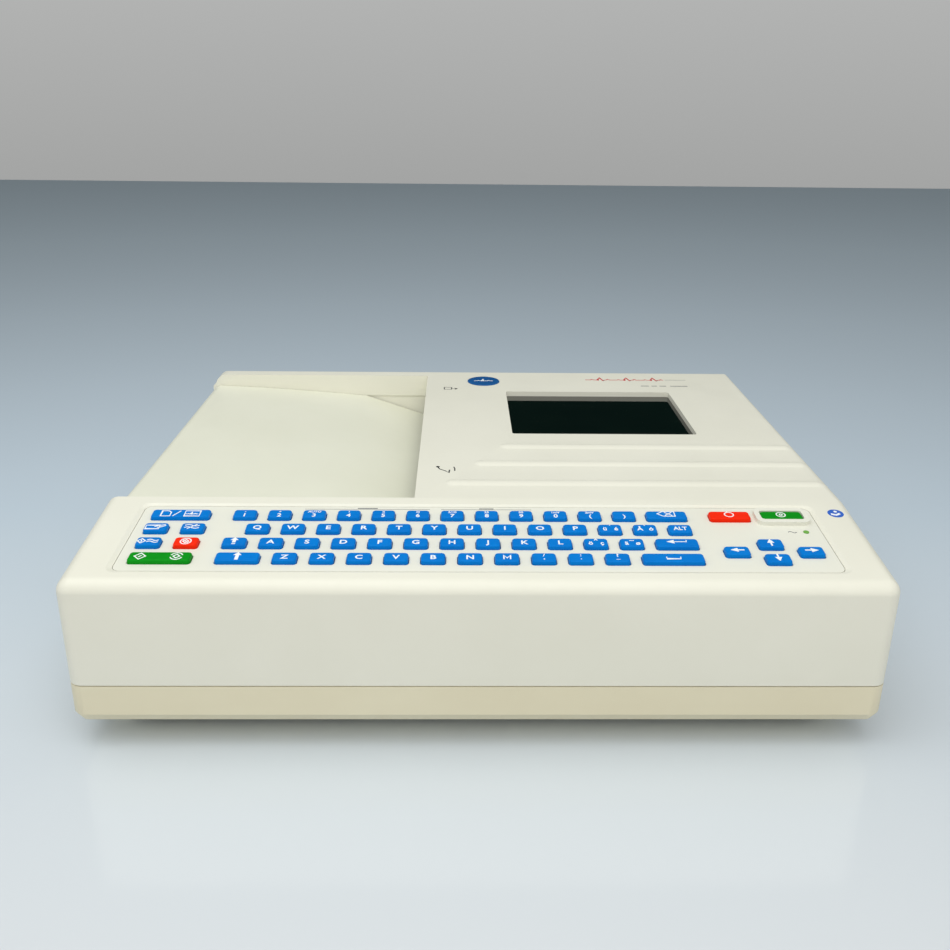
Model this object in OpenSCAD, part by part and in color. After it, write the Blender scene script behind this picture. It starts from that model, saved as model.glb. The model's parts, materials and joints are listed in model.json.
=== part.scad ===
// Portable resting ECG machine: keyboard deck at the front, flat panel with a
// display at the right rear, sliding paper cover at the left rear.
// Origin: middle of the footprint, on the table. +X right, +Y back, +Z up.

/* [Housing] */
// Overall width
body_w = 400; // [396:1:404]
// Overall depth
body_d = 340.5; // [339:0.5:342]
// Height of the flat top panel above the table
panel_z = 100.3; // [99.8:0.1:101]
// Height of the deck's front edge before rounding
deck_front_z = 91.1; // [90.5:0.1:91.6]
// Horizontal run of the sloping keyboard deck
deck_run = 83.7; // [83:0.1:84.5]
// Height of the seam between top and base housing
seam_z = 35.9; // [35:0.1:36.5]
// Height of the base housing's lower edge
base_z = 14.9; // [14.6:0.1:15.2]
// Height where the chamfer above that edge ends
chamfer_z = 19.7; // [19.3:0.1:20]
// Height of the rubber feet
foot_h = 4; // [3.5:0.1:4.5]
// Moulded wall thickness
wall = 2.6; // [2.4:0.1:2.8]

/* [Keyboard] */
// Width of a letter key
key_w = 12.2; // [11.8:0.1:12.4]
// Depth of every key
key_l = 8.2; // [8:0.1:8.4]
// Distance between neighbouring key columns
key_pitch = 17.98; // [17.9:0.01:18]
// Distance between key rows
row_pitch = 13.9; // [13.8:0.1:14]
// Height of a key above the key panel
key_h = 2.2; // [1.8:0.1:2.6]
// How far a key travels when pressed
key_travel = 1.5; // [1:0.1:1.5]

/* [Display] */
// Width of the display opening
screen_w = 119.4; // [117:0.1:121]
// Depth of the display opening
screen_d = 95; // [93:0.1:96]
// How far the window sits below the panel
screen_sink = 3.5; // [3.3:0.1:4]

/* [Printer] */
// Radius of the rubber platen roller
platen_r = 9; // [8.8:0.1:9]
// Width of the recording paper
paper_w = 210; // [205:1:210]
// Gear module of the paper drive
gear_module = 0.8; // [0.8:0.1:0.8]

/* [Hidden] */
$fn = 48;
eps = 0.01;
half_w = body_w / 2;
half_d = body_d / 2;
front_y = -half_d;
ridge_y = front_y + deck_run;
deck_angle = atan((panel_z - deck_front_z) / deck_run);

// colours
housing_colour = [0.89, 0.89, 0.84];
base_colour = [0.84, 0.82, 0.73];
blue = [0.05, 0.5, 0.85];
red = [0.9, 0.25, 0.15];
green = [0.05, 0.5, 0.08];
steel = [0.7, 0.71, 0.73];
board_green = [0.05, 0.35, 0.2];
black = [0.08, 0.08, 0.09];
rubber_black = [0.12, 0.12, 0.12];
nylon = [0.92, 0.9, 0.84];
paper_colour = [0.96, 0.93, 0.9];

// housing rounding radii
front_r = 7.4;
rear_r = 3;
ridge_r = 6.5;
seam_gap = 0.6;
rim_w = 4.2;
tongue_top = seam_z + 2.6;
floor_top = base_z + wall;

// paper bay, left of the panel
bay_right = -34.7;
bay_rear = half_d - 13;
bay_floor_wall_z = 52;
slot_top_z = panel_z - 18.8;
shoulder_z = panel_z - 16;
cover_gap = 0.3;
cover_t = 2.4;
bay_mid_y = (ridge_y + bay_rear) / 2;
tray_w = 219;

// display
screen_x = 83.4;
screen_y = 68.5;
window_t = 1.5;

// layers of the keyboard, measured along the deck's normal
panel_sink = 0.9;
panel_t = 2;
flange_t = 0.9;
flange_gap = 0.1;
dome_h = 0.8;
mat_top = -(panel_sink + panel_t + flange_gap + flange_t + key_travel + dome_h + 0.4);
mat_t = 1;
board_t = 1.6;
key_gap = 0.25;
row_1 = 64.5;
row_2 = row_1 - row_pitch;
row_3 = row_2 - row_pitch;
row_4 = row_3 - row_pitch;
wide_w = 30.4;
arrow_w = 12.6;

// key panel, its recess and what lies under it: centre up the deck, width and depth
bank_s = 43.9;
bank_w = 352;
bank_d = 62.3;

// key centres: [x, distance up the deck, width]
function key_row(first_x, count, s) =
    [for (i = [0 : count - 1]) [first_x + i * key_pitch, s, key_w]];
digit_places = key_row(-122, 12, row_1);
upper_places = key_row(-113.1, 13, row_2);
middle_places = key_row(-104, 11, row_3);
lower_places = key_row(-95.1, 10, row_4);
backspace_place = [98.2, row_1, 21.5];
shift_lock_place = [-122.1, row_3, key_w];
shift_place = [-117.9, row_4, 21.5];
enter_place = [98.5, row_3, 21.6];
space_place = [94, row_4, 30.6];
report_place = [-155.2, row_1, wide_w];
patient_place = [-164.5, row_2, key_w];
leads_place = [-145.9, row_2, key_w];
filter_place = [-164.5, row_3, key_w];
stop_place = [-145.9, row_3, key_w];
start_place = [-155.2, row_4, wide_w];
arrow_left_place = [127, 29.6, arrow_w];
arrow_right_place = [164, 29.6, arrow_w];
arrow_up_place = [145.5, 36.7, arrow_w];
arrow_down_place = [145.5, row_4, arrow_w];
power_off_place = [131.5, row_1, 21.6];
power_on_place = [158.9, row_1, 22];
single_places = [
    backspace_place, shift_lock_place, shift_place, enter_place, space_place,
    report_place, patient_place, leads_place, filter_place, stop_place, start_place,
    arrow_left_place, arrow_right_place, arrow_up_place, arrow_down_place,
    power_off_place, power_on_place
];
all_places = concat(digit_places, upper_places, middle_places, lower_places, single_places);
led_place = [168, 50.6];

// paper drive, in the plane of the side plates: [x, z]
platen_at = [-16, 62];
platen_teeth = 40;
idler_teeth = 30;
pinion_teeth = 18;
idler_dir = -15;
pinion_dir = -20;
platen_to_idler = gear_module * (platen_teeth + idler_teeth) / 2;
idler_to_pinion = gear_module * (idler_teeth + pinion_teeth) / 2;
idler_at = platen_at + platen_to_idler * [cos(idler_dir), sin(idler_dir)];
pinion_at = idler_at + idler_to_pinion * [cos(pinion_dir), sin(pinion_dir)];
idler_phase = idler_dir + 180 + 180 / idler_teeth;
pinion_phase = pinion_dir + 180
    + (pinion_dir - idler_phase) * idler_teeth / pinion_teeth + 180 / pinion_teeth;
gear_y = -82;
gear_t = 4;
plate_t = 2;
front_plate_y = -80;
rear_plate_y = 150;
shaft_r = 3;
running_gap = 0.05;
bearing_r = 6;
motor_size = 42;
motor_len = 34;
motor_shaft_r = 2.5;
idler_pin_r = 2;
head_gap = 0.1;
head_bottom = platen_at[1] + platen_r + head_gap;
head_pivot = [20, 79];
head_pin_r = 2;
spring_top = 87;

// fasteners and feet
post_r = 4;
screw_r = 1.5;
screw_hole_r = 1.7;
board_screw_r = 1.25;
sheet_t = 1.6;
board_z = 24;
mount_z = chamfer_z + 3;
screw_places = [
    [-190, 25 - half_d], [190, 25 - half_d], [0, 7.5 - half_d],
    [-186, half_d - 5.8], [84, half_d - 5.8], [190, half_d - 17]
];
foot_places = [for (x = [-150, 150], y = [-122, 122]) [x, y]];
foot_r = 8;
plinth_w = 358;
plinth_d = 302;

// battery
battery_size = [178, 60, 29];
battery_mid = [0, -117.6];
battery_z = foot_h + wall + 0.2;

// connectors
pin_x = 178;
inlet_x = 132;
serial_x = [10, 52];
rear_socket_z = 58;
inlet_z = 54;
patient_y = -35;
patient_z = 58;
jack_r = 1.42;

// ---- shared shapes ----

// flat rounded rectangle about the origin
module rounded_rect(w, d, r) {
    square([w - 2 * r, d], center = true);
    square([w, d - 2 * r], center = true);
    for (x = [-1, 1], y = [-1, 1])
        translate([x * (w / 2 - r), y * (d / 2 - r)])
            circle(r);
}

// upright plate with rounded corners, standing on z = 0
module rounded_plate(w, d, h, r) {
    linear_extrude(h)
        rounded_rect(w, d, r);
}

// places children in the sloping frame of the keyboard deck
module on_deck() {
    translate([0, front_y, deck_front_z])
        rotate([deck_angle, 0, 0])
            children();
}

// places children in the plane of the printer's side plates, thickness towards +Y
module across(x, y, z) {
    translate([x, y, z])
        rotate([-90, 0, 0])
            children();
}

// places children on the right side, thickness towards +X
module sideways(x, y, z) {
    translate([x, y, z])
        rotate([0, 90, 0])
            children();
}

// plan of one housing layer: four corner discs, drawn in from the outside by inset
module corner_discs(inset, z, h, facets = 32) {
    for (side = [-1, 1]) {
        translate([side * (half_w - front_r), front_y + front_r, z])
            cylinder(r = front_r - inset, h = h, $fn = facets);
        translate([side * (half_w - rear_r), half_d - rear_r, z])
            cylinder(r = rear_r - inset, h = h, $fn = facets);
    }
}

// rounded block under deck and panel, drawn in from the outside by inset
module housing_block(inset, bottom, facets = 32) {
    front_drop = front_r / cos(deck_angle) - front_r * tan(deck_angle);
    ridge_rise = ridge_r / cos(deck_angle) - ridge_r;
    ridge_back = (panel_z - deck_front_z + ridge_rise) / tan(deck_angle);
    hull() {
        corner_discs(inset, bottom, 1, facets);
        for (side = [-1, 1]) {
            translate([side * (half_w - front_r), front_y + front_r, deck_front_z - front_drop])
                sphere(front_r - inset, $fn = facets);
            translate([side * (half_w - ridge_r), front_y + ridge_back, panel_z - ridge_r])
                sphere(ridge_r - inset, $fn = facets);
            translate([side * (half_w - rear_r), half_d - rear_r, panel_z - rear_r])
                sphere(rear_r - inset, $fn = facets);
        }
    }
}

// flat outline of an involute gear
function involute(angle) = tan(angle) * 180 / PI - angle;
function flank(teeth, r) =
    let (base_r = gear_module * teeth / 2 * cos(20))
    89.2 / teeth + involute(20) - (r > base_r ? involute(acos(base_r / r)) : 0);
function tooth_points(teeth, i) =
    let (
        pitch_r = gear_module * teeth / 2,
        root_r = pitch_r - 1.25 * gear_module,
        tip_r = pitch_r + 0.95 * gear_module,
        radii = [for (k = [0 : 4]) root_r + (tip_r - root_r) * k / 4],
        mid = 360 * i / teeth
    )
    [
        for (side = [-1, 1], k = side < 0 ? [0 : 4] : [4 : -1 : 0])
            let (a = mid + side * flank(teeth, radii[k]))
            radii[k] * [cos(a), sin(a)]
    ];

// gear on a Y axis, between y and y - t, with one tooth at the phase angle
module gear(at, teeth, phase, bore_r, hub_r, hub_t) {
    translate([at[0], gear_y, at[1]])
        rotate([90, 0, 0])
            difference() {
                union() {
                    linear_extrude(gear_t)
                        rotate(phase)
                            polygon([for (i = [0 : teeth - 1]) each tooth_points(teeth, i)]);
                    cylinder(r = hub_r, h = gear_t + hub_t);
                }
                translate([0, 0, -1])
                    cylinder(r = bore_r, h = gear_t + hub_t + 2);
            }
}

// ---- housings ----

module screw_posts(bottom, top) {
    for (p = screw_places)
        translate([p[0], p[1], bottom])
            cylinder(r = post_r, h = top - bottom);
}

module ventilation_slots(x, count) {
    for (i = [0 : count - 1])
        translate([x + i * 7, half_d - 10, 70])
            cube([3, 20, 14]);
}

// walls around the paper bay
module bay_walls() {
    translate([-half_w, ridge_y - wall, seam_z + seam_gap / 2])
        cube([half_w + bay_right + wall, bay_rear - ridge_y + 2 * wall, panel_z]);
}

// space of the paper bay, open to the top, the left and the base
module bay_space() {
    bay_d = bay_rear - ridge_y;
    translate([-half_w + wall, ridge_y, 0])
        cube([half_w + bay_right - wall + eps, bay_d, panel_z + 10]);
    translate([-half_w - 1, ridge_y, bay_floor_wall_z])
        cube([10, bay_d, panel_z]);
    translate([bay_right - 1, ridge_y, 0])
        cube([wall + 2, bay_d, slot_top_z]);
    translate([-half_w + wall, ridge_y - wall - 1, 0])
        cube([rim_w - wall + 0.6, bay_d + 2 * wall + 2, tongue_top + 0.6]);
}

// shallow rebate in the bay's rear wall, beside the falling part of the cover
module bay_rebate() {
    translate([-82, bay_rear - eps, slot_top_z - 16])
        cube([bay_right + wall + 83, 0.8, shoulder_z - slot_top_z + 16]);
}

// rounds off the left end of the bar behind the bay
module bar_end_cut() {
    end_r = 9;
    end_x = -half_w + 2;
    difference() {
        translate([-half_w - 1, bay_rear - eps, panel_z - end_r])
            cube([end_x + end_r + half_w + 1, 20, end_r + 1]);
        translate([end_x + end_r, bay_rear - 1, panel_z - end_r])
            rotate([-90, 0, 0])
                cylinder(r = end_r, h = 22);
    }
}

// raised rounded ribs in front of the display
module panel_ribs() {
    rib_w = 10.4;
    rib_h = 1.3;
    rib_r = (rib_w * rib_w / 4 + rib_h * rib_h) / (2 * rib_h);
    starts = [-19, -2.4, 13.7];
    places = [-64.9, -33.9, -3.9];
    end_x = half_w - 4 - rib_w / 2;
    for (i = [0 : 2])
        intersection() {
            translate([starts[i] + rib_w / 2, places[i], panel_z - rib_r + rib_h]) {
                rotate([0, 90, 0])
                    cylinder(r = rib_r, h = end_x - starts[i] - rib_w / 2);
                sphere(rib_r);
                translate([end_x - starts[i] - rib_w / 2, 0, 0])
                    sphere(rib_r);
            }
            translate([starts[i] - 1, places[i] - rib_w / 2 - 1, panel_z - 1])
                cube([half_w + 20, rib_w + 2, rib_h + 2]);
        }
}

// shallow sloped recess for the key panel, with its pocket and opening
module keyboard_recess() {
    recess = [bank_w + 6, bank_d + 4.6];
    bed = [bank_w + 1.6, bank_d + 1.1];
    flare = [recess[0] / bed[0], recess[1] / bed[1]];
    on_deck()
        translate([0, bank_s, 0]) {
            translate([0, 0, -panel_sink])
                linear_extrude(panel_sink + 0.1, scale = flare)
                    rounded_rect(bed[0], bed[1], 4.6);
            translate([0, 0.15, -panel_sink - panel_t])
                rounded_plate(bank_w + 0.6, bank_d + 0.6, panel_t + eps, 4.3);
            translate([0, 0, mat_top - 1])
                rounded_plate(bank_w - 6, bank_d - 5.5, 10, 3);
        }
}

// thick frame under the deck that carries key panel, mat and board
module keyboard_frame() {
    on_deck()
        translate([0, bank_s, mat_top])
            rounded_plate(bank_w + 16, bank_d + 12.5, -mat_top - 1, 5);
}

// rear and right pockets that keep the sockets inside the outline
module socket_pockets() {
    for (x = serial_x)
        across(x, half_d - 6, rear_socket_z)
            rounded_plate(34, 16, 20, 1.5);
    across(inlet_x, half_d - 4, inlet_z)
        rounded_plate(50.6, 28.6, 20, 2);
    across(pin_x, half_d - 13, inlet_z)
        cylinder(r = 9, h = 20);
    sideways(half_w - 6, patient_y, patient_z)
        rounded_plate(16, 46, 20, 1.5);
}

// material behind the pockets
module pocket_backs() {
    translate([(serial_x[0] + serial_x[1]) / 2, half_d - 8, rear_socket_z])
        cube([84, 14, 20], center = true);
    translate([inlet_x, half_d - 6, inlet_z])
        cube([55, 10, 33], center = true);
    across(pin_x, half_d - 15.5, inlet_z)
        cylinder(r = 11.5, h = 13);
    translate([half_w - 8, patient_y, patient_z])
        cube([14, 50, 20], center = true);
}

// holes through the pocket floors
module socket_holes() {
    for (x = serial_x)
        across(x, half_d - 20, rear_socket_z)
            rounded_plate(20, 12, 20, 2);
    across(inlet_x, half_d - 20, inlet_z)
        rounded_plate(28, 21, 20, 2);
    across(pin_x, half_d - 20, inlet_z)
        cylinder(r = 2.5, h = 20);
    sideways(half_w - 20, patient_y, patient_z)
        rounded_plate(12, 28, 20, 2);
}

module top_housing() {
    bottom = seam_z + seam_gap / 2;
    color(housing_colour)
        difference() {
            union() {
                difference() {
                    housing_block(0, bottom);
                    housing_block(wall, bottom - 2, 16);
                }
                intersection() {
                    housing_block(1, bottom, 8);
                    union() {
                        bay_walls();
                        keyboard_frame();
                        screw_posts(bottom, panel_z);
                        pocket_backs();
                        translate([-half_w, bay_rear, panel_z - 16])
                            cube([14, half_d - bay_rear, 16]);
                        translate([screen_x, screen_y, panel_z - screen_sink])
                            rounded_plate(screen_w + 14, screen_d + 14, 10, 3);
                    }
                }
                panel_ribs();
            }
            bay_space();
            bay_rebate();
            bar_end_cut();
            keyboard_recess();
            socket_pockets();
            socket_holes();
            ventilation_slots(90, 12);
            translate([screen_x, screen_y, panel_z - 10])
                rounded_plate(screen_w, screen_d, 20, 2);
            translate([screen_x, screen_y, panel_z - screen_sink - window_t - 1])
                rounded_plate(screen_w + 5, screen_d + 5, window_t + 1, 1);
            for (p = screw_places)
                translate([p[0], p[1], 30])
                    cylinder(r = screw_r, h = 30);
            on_deck()
                for (p = keyboard_screw_places)
                    translate([p[0], p[1], mat_top - 1])
                        cylinder(r = screw_r, h = 3.6);
        }
}

module base_housing() {
    rim_top = seam_z - seam_gap / 2;
    color(base_colour)
        difference() {
            union() {
                hull() {
                    corner_discs(0, chamfer_z, rim_top - chamfer_z);
                    corner_discs(3, base_z, 1);
                }
                translate([0, 0, foot_h])
                    rounded_plate(plinth_w, plinth_d, base_z, 6);
                difference() {
                    translate([0, 0, chamfer_z])
                        rounded_plate(body_w - 5.6, body_d - 5.6, tongue_top - chamfer_z, 4.6);
                    for (p = screw_places)
                        translate([p[0], p[1], rim_top])
                            cylinder(r = post_r + 0.4, h = 10);
                    translate([inlet_x - 28, half_d - 12, rim_top])
                        cube([56, 12, 10]);
                }
            }
            difference() {
                translate([0, 0, floor_top])
                    rounded_plate(body_w - 2 * rim_w, body_d - 2 * rim_w, 40, 3.2);
                screw_posts(0, rim_top);
            }
            translate([0, 0, foot_h + wall])
                rounded_plate(plinth_w - 2 * wall, plinth_d - 2 * wall, 40, 3.4);
            battery_opening(0.3);
            for (p = screw_places)
                translate([p[0], p[1], 0]) {
                    cylinder(r = screw_hole_r, h = 60);
                    cylinder(r = 3.2, h = chamfer_z + 6);
                }
            for (p = foot_places)
                translate([p[0], p[1], 0])
                    cylinder(r = foot_r + 0.1, h = foot_h + 1);
            for (i = [0 : 9])
                translate([60 + i * 8, 90, 0])
                    cube([3, 36, 10]);
            for (p = cover_screw_places)
                translate([p[0], p[1], 0])
                    cylinder(r = screw_r, h = 12);
        }
    color(base_colour)
        base_standoffs();
}

// pillars that carry the boards and the printer
board_pillars = [[60, -52], [170, -52], [60, 34], [170, 34]];
supply_pillars = [[70, 68], [172, 68], [70, 134], [172, 134]];
chassis_pillars = [[-20, -60], [-20, 40], [-20, 130]];
tray_pillars = [[-165, -50], [-60, -50], [-165, 130], [-60, 130]];
module base_standoffs() {
    for (p = concat(board_pillars, supply_pillars))
        pillar(p, board_z);
    for (p = concat(chassis_pillars, tray_pillars))
        pillar(p, mount_z);
}

module pillar(p, top) {
    translate([p[0], p[1], foot_h + wall - 0.5])
        difference() {
            cylinder(r = 3.5, h = top - foot_h - wall + 0.5);
            translate([0, 0, 1])
                cylinder(r = board_screw_r, h = 40);
        }
}

// opening in the underside for the battery
module battery_opening(gap) {
    translate([battery_mid[0], battery_mid[1], foot_h - 1])
        rounded_plate(battery_size[0] + 2 + 2 * gap, battery_size[1] + 1 + 2 * gap, 10, 2);
}

cover_screw_y = battery_mid[1] + battery_size[1] / 2 + 7.5;
cover_screw_places = [for (x = [-60, 60]) [battery_mid[0] + x, cover_screw_y]];

module battery_cover() {
    color(base_colour)
        difference() {
            union() {
                translate([battery_mid[0], battery_mid[1], foot_h])
                    rounded_plate(battery_size[0] + 2, battery_size[1] + 1, wall, 2);
                for (p = cover_screw_places)
                    translate([p[0], p[1] - 3.4, foot_h - 1.6])
                        rounded_plate(12, 18, 1.6, 4);
            }
            for (p = cover_screw_places)
                translate([p[0], p[1], 0])
                    cylinder(r = screw_hole_r, h = 12);
            for (i = [0 : 5])
                translate([-11 + i * 4, battery_mid[1] - 24, foot_h - 0.1])
                    cube([1.6, 12, 0.8]);
        }
}

module battery_cover_screws() {
    color(steel)
        for (p = cover_screw_places)
            translate([p[0], p[1], 0])
                screw(foot_h - 3.4, 9);
}

// pan-head screw with a cross slot, its head's underside at z + 1.8
module screw(z, length) {
    translate([0, 0, z])
        difference() {
            union() {
                cylinder(r = 2.8, h = 1.8);
                cylinder(r = screw_r, h = length + 1.8);
            }
            for (a = [0, 90])
                rotate(a)
                    translate([-1.8, -0.3, -1])
                        cube([3.6, 0.6, 1.9]);
        }
}

module housing_screws() {
    color(steel)
        for (p = screw_places)
            translate([p[0], p[1], 0])
                screw(chamfer_z + 4.2, 30);
}

module rubber_feet() {
    color(rubber_black)
        for (p = foot_places)
            translate([p[0], p[1], 0]) {
                cylinder(r1 = foot_r - 1, r2 = foot_r, h = 1);
                translate([0, 0, 1])
                    cylinder(r = foot_r, h = foot_h);
            }
}

// ---- keyboard ----

// keycap with chamfered top and a retaining flange under the panel
module keycap(place) {
    w = place[2];
    top = -panel_sink + key_h;
    chamfer = 0.9;
    on_deck()
        translate([place[0], place[1], 0]) {
            intersection() {
                translate([0, 0, -panel_sink - panel_t - 1])
                    rounded_plate(w, key_l, key_h + panel_t + 1, 1.6);
                rotate([90, 0, 0])
                    linear_extrude(key_l + 2, center = true)
                        chamfered(w, top, chamfer);
                rotate([90, 0, 90])
                    linear_extrude(w + 2, center = true)
                        chamfered(key_l, top, chamfer);
            }
            translate([0, 0, -panel_sink - panel_t - flange_gap - flange_t])
                rounded_plate(w + 1.8, key_l + 1.8, flange_t, 2);
        }
}

// side view of a keycap: straight walls and two chamfers
module chamfered(w, top, c) {
    polygon([
        [-w / 2, -6], [w / 2, -6], [w / 2, top - c],
        [w / 2 - c, top], [-w / 2 + c, top], [-w / 2, top - c]
    ]);
}

module key_set(places, colour) {
    color(colour)
        for (p = places)
            keycap(p);
}

module key_panel() {
    collar_w = 28;
    collar_l = 14.8;
    color(housing_colour)
        difference() {
            on_deck() {
                translate([0, bank_s + 0.15, -panel_sink - panel_t])
                    rounded_plate(bank_w, bank_d, panel_t, 4);
                translate([power_on_place[0], power_on_place[1], -panel_sink - 0.5])
                    rounded_plate(collar_w, collar_l, 2.8, 4);
            }
            on_deck() {
                for (p = all_places)
                    translate([p[0], p[1], -10])
                        rounded_plate(p[2] + 2 * key_gap, key_l + 2 * key_gap, 20, 1.8);
                translate([led_place[0], led_place[1], -10])
                    cylinder(r = 1.5, h = 20);
            }
        }
}

module keypad_mat() {
    color(nylon)
        on_deck() {
            difference() {
                translate([0, bank_s + 0.15, mat_top - mat_t])
                    rounded_plate(bank_w + 6, bank_d + 2.5, mat_t, 2);
                translate([led_place[0], led_place[1], -10])
                    cylinder(r = 1.6, h = 10);
                for (p = keyboard_screw_places)
                    translate([p[0], p[1], -12])
                        cylinder(r = 2.4, h = 10);
            }
            for (p = all_places)
                translate([p[0], p[1], mat_top - 0.2])
                    cylinder(r1 = 3.2, r2 = 2.4, h = dome_h + 0.2, $fn = 24);
        }
}

keyboard_screw_places = [for (x = [-1, 1], s = [16, 72]) [x * bank_w / 2, s]];

module keyboard_board() {
    color(board_green)
        on_deck()
            difference() {
                union() {
                    translate([0, bank_s + 0.15, mat_top - mat_t - board_t])
                        rounded_plate(bank_w + 8, bank_d + 3.9, board_t, 2);
                    translate([95, 66, mat_top - mat_t - board_t - 5])
                        rounded_plate(42, 8, 5.5, 0.5);
                }
                for (p = keyboard_screw_places)
                    translate([p[0], p[1], -20])
                        cylinder(r = screw_hole_r, h = 20);
                translate([led_place[0], led_place[1], -20])
                    cylinder(r = 1, h = 20);
            }
}

// light pipe of the mains indicator
module mains_led() {
    color([0.6, 0.7, 0.45])
        on_deck()
            translate([led_place[0], led_place[1], mat_top - mat_t])
                cylinder(r = 1.45, h = -mat_top + mat_t - panel_sink + 0.3);
}

// ---- display ----

module display_window() {
    color(black)
        translate([screen_x, screen_y, panel_z - screen_sink - window_t])
            rounded_plate(screen_w + 4.6, screen_d + 4.6, window_t, 0.8);
}

module display_module() {
    top = panel_z - screen_sink - window_t;
    module_t = 9;
    color(steel)
        translate([screen_x, screen_y, top - module_t]) {
            rounded_plate(144, 104, module_t - 1.5, 1);
            translate([0, 0, module_t - 1.6])
                rounded_plate(118, 90, 1.5, 1);
            translate([66 - screen_x, 0, -4])
                rounded_plate(12, 60, 4.1, 0.5);
        }
}

// ---- paper compartment ----

// upper side of the cover: gently crowned, then falling towards the paper slot
cover_left = -half_w + 0.2;
cover_shoulder = [
    for (p = [[-193.5, 7.5], [-175, 6.8], [-156, 5.8], [-137, 4.5], [-110, 2.5], [-82, 0.1]])
        [p[0], shoulder_z + p[1]]
];
cover_slot_edge = [[-38.4, shoulder_z - 14.7], [-32.9, shoulder_z - 16.5]];
module cover_section() {
    top = concat(cover_shoulder, cover_slot_edge);
    edge_r = 6.5;
    edge_mid = [cover_left + edge_r, shoulder_z + 1.2];
    edge_arc = [for (a = [180 : -15 : 105]) edge_mid + edge_r * [cos(a), sin(a)]];
    inner = [for (i = [len(top) - 1 : -1 : 1]) [top[i][0], top[i][1] - cover_t]];
    polygon(concat(
        [[cover_left, bay_floor_wall_z + 0.4]],
        edge_arc,
        top,
        inner,
        [
            [-193, shoulder_z + 4.5], [cover_left + cover_t, shoulder_z + 0.9],
            [cover_left + cover_t, bay_floor_wall_z + 0.4]
        ]
    ));
}

module paper_cover() {
    y0 = ridge_y + cover_gap;
    y1 = bay_rear - cover_gap;
    color(housing_colour)
        difference() {
            union() {
                translate([0, y1, 0])
                    rotate([90, 0, 0])
                        linear_extrude(y1 - y0)
                            cover_section();
                for (y = [y0, y1 - 1.8])
                    translate([0, y + 1.8, 0])
                        rotate([90, 0, 0])
                            linear_extrude(1.8)
                                polygon([
                                    [-198, 57], [-190, 55], [-43.7, 55],
                                    [-37.7, shoulder_z - 17.2], [-82, shoulder_z - 1.7],
                                    [-137, shoulder_z + 2.7], [-190, shoulder_z + 5.3],
                                    [-198, shoulder_z + 1.3]
                                ]);
            }
            for (i = [0 : 4])
                translate([cover_left - 1, 0, 60 + i * 3.6])
                    translate([0, bay_mid_y - 30, 0])
                        cube([1.8, 60, 1.6]);
        }
}

module paper_tray() {
    tray_x = -187;
    side_t = 1.8;
    color([0.3, 0.31, 0.33])
        difference() {
            translate([tray_x, bay_mid_y - tray_w / 2, mount_z])
                cube([145, tray_w, 30]);
            translate([tray_x + sheet_t, bay_mid_y - tray_w / 2 + side_t, mount_z + sheet_t])
                cube([150, tray_w - 2 * side_t, 40]);
            for (p = tray_pillars)
                translate([p[0], p[1], 0])
                    cylinder(r = screw_hole_r, h = 60);
        }
}

// Z-folded stack of recording paper
module paper_pack() {
    color(paper_colour)
        translate([-183, bay_mid_y - paper_w / 2, mount_z + 3.8])
            cube([138, paper_w, 22]);
}

// ---- paper drive and print head ----

module side_plate(y) {
    translate([0, y + plate_t, 0])
        rotate([90, 0, 0])
            linear_extrude(plate_t)
                polygon([
                    [-29, mount_z], [46, mount_z], [46, 66], [30, 89], [-4, 89], [-29, 78]
                ]);
}

module printer_chassis() {
    length = rear_plate_y - front_plate_y + plate_t;
    color(steel)
        difference() {
            union() {
                side_plate(front_plate_y);
                side_plate(rear_plate_y);
                translate([-29, front_plate_y, mount_z])
                    cube([30, length, sheet_t]);
                translate([-3, front_plate_y, spring_top])
                    cube([12, length, sheet_t]);
            }
            across(platen_at[0], front_plate_y - 5, platen_at[1])
                cylinder(r = bearing_r, h = 260);
            across(head_pivot[0], front_plate_y - 5, head_pivot[1])
                cylinder(r = head_pin_r, h = 260);
            across(idler_at[0], front_plate_y - 5, idler_at[1])
                cylinder(r = idler_pin_r, h = 10);
            across(pinion_at[0], front_plate_y - 5, pinion_at[1]) {
                cylinder(r = 11.2, h = 10);
                for (x = [-15.5, 15.5], z = [-15.5, 15.5])
                    translate([x, z, 0])
                        cylinder(r = screw_hole_r, h = 10);
            }
            for (p = chassis_pillars)
                translate([p[0], p[1], 0])
                    cylinder(r = screw_hole_r, h = 30);
        }
}

module stepper_motor() {
    face_y = front_plate_y + plate_t;
    color(black)
        difference() {
            union() {
                across(pinion_at[0], face_y, pinion_at[1])
                    rounded_plate(motor_size, motor_size, motor_len, 4);
                across(pinion_at[0], face_y - plate_t, pinion_at[1])
                    cylinder(r = 11, h = 3);
            }
            across(pinion_at[0], face_y - 10, pinion_at[1])
                cylinder(r = motor_shaft_r + running_gap, h = motor_len + 7);
        }
}

module motor_shaft() {
    color(steel)
        across(pinion_at[0], gear_y - gear_t - 1, pinion_at[1])
            cylinder(r = motor_shaft_r, h = 36);
}

module motor_pinion() {
    color([0.75, 0.6, 0.3])
        gear(pinion_at, pinion_teeth, pinion_phase, motor_shaft_r, 4.5, 0.5);
}

module idler_gear() {
    color(nylon)
        gear(idler_at, idler_teeth, idler_phase, idler_pin_r + running_gap, 5, 0.5);
}

// headed pin riveted in the side plate
module idler_pin() {
    color(steel) {
        across(idler_at[0], gear_y - gear_t - 1.2, idler_at[1])
            cylinder(r = idler_pin_r, h = gear_t + 1.2 + 4);
        across(idler_at[0], gear_y - gear_t - 2.2, idler_at[1])
            cylinder(r = 3.5, h = 1.1);
    }
}

module platen_gear() {
    color(nylon)
        gear(platen_at, platen_teeth, idler_dir, shaft_r, 6, 0.5);
}

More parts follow.
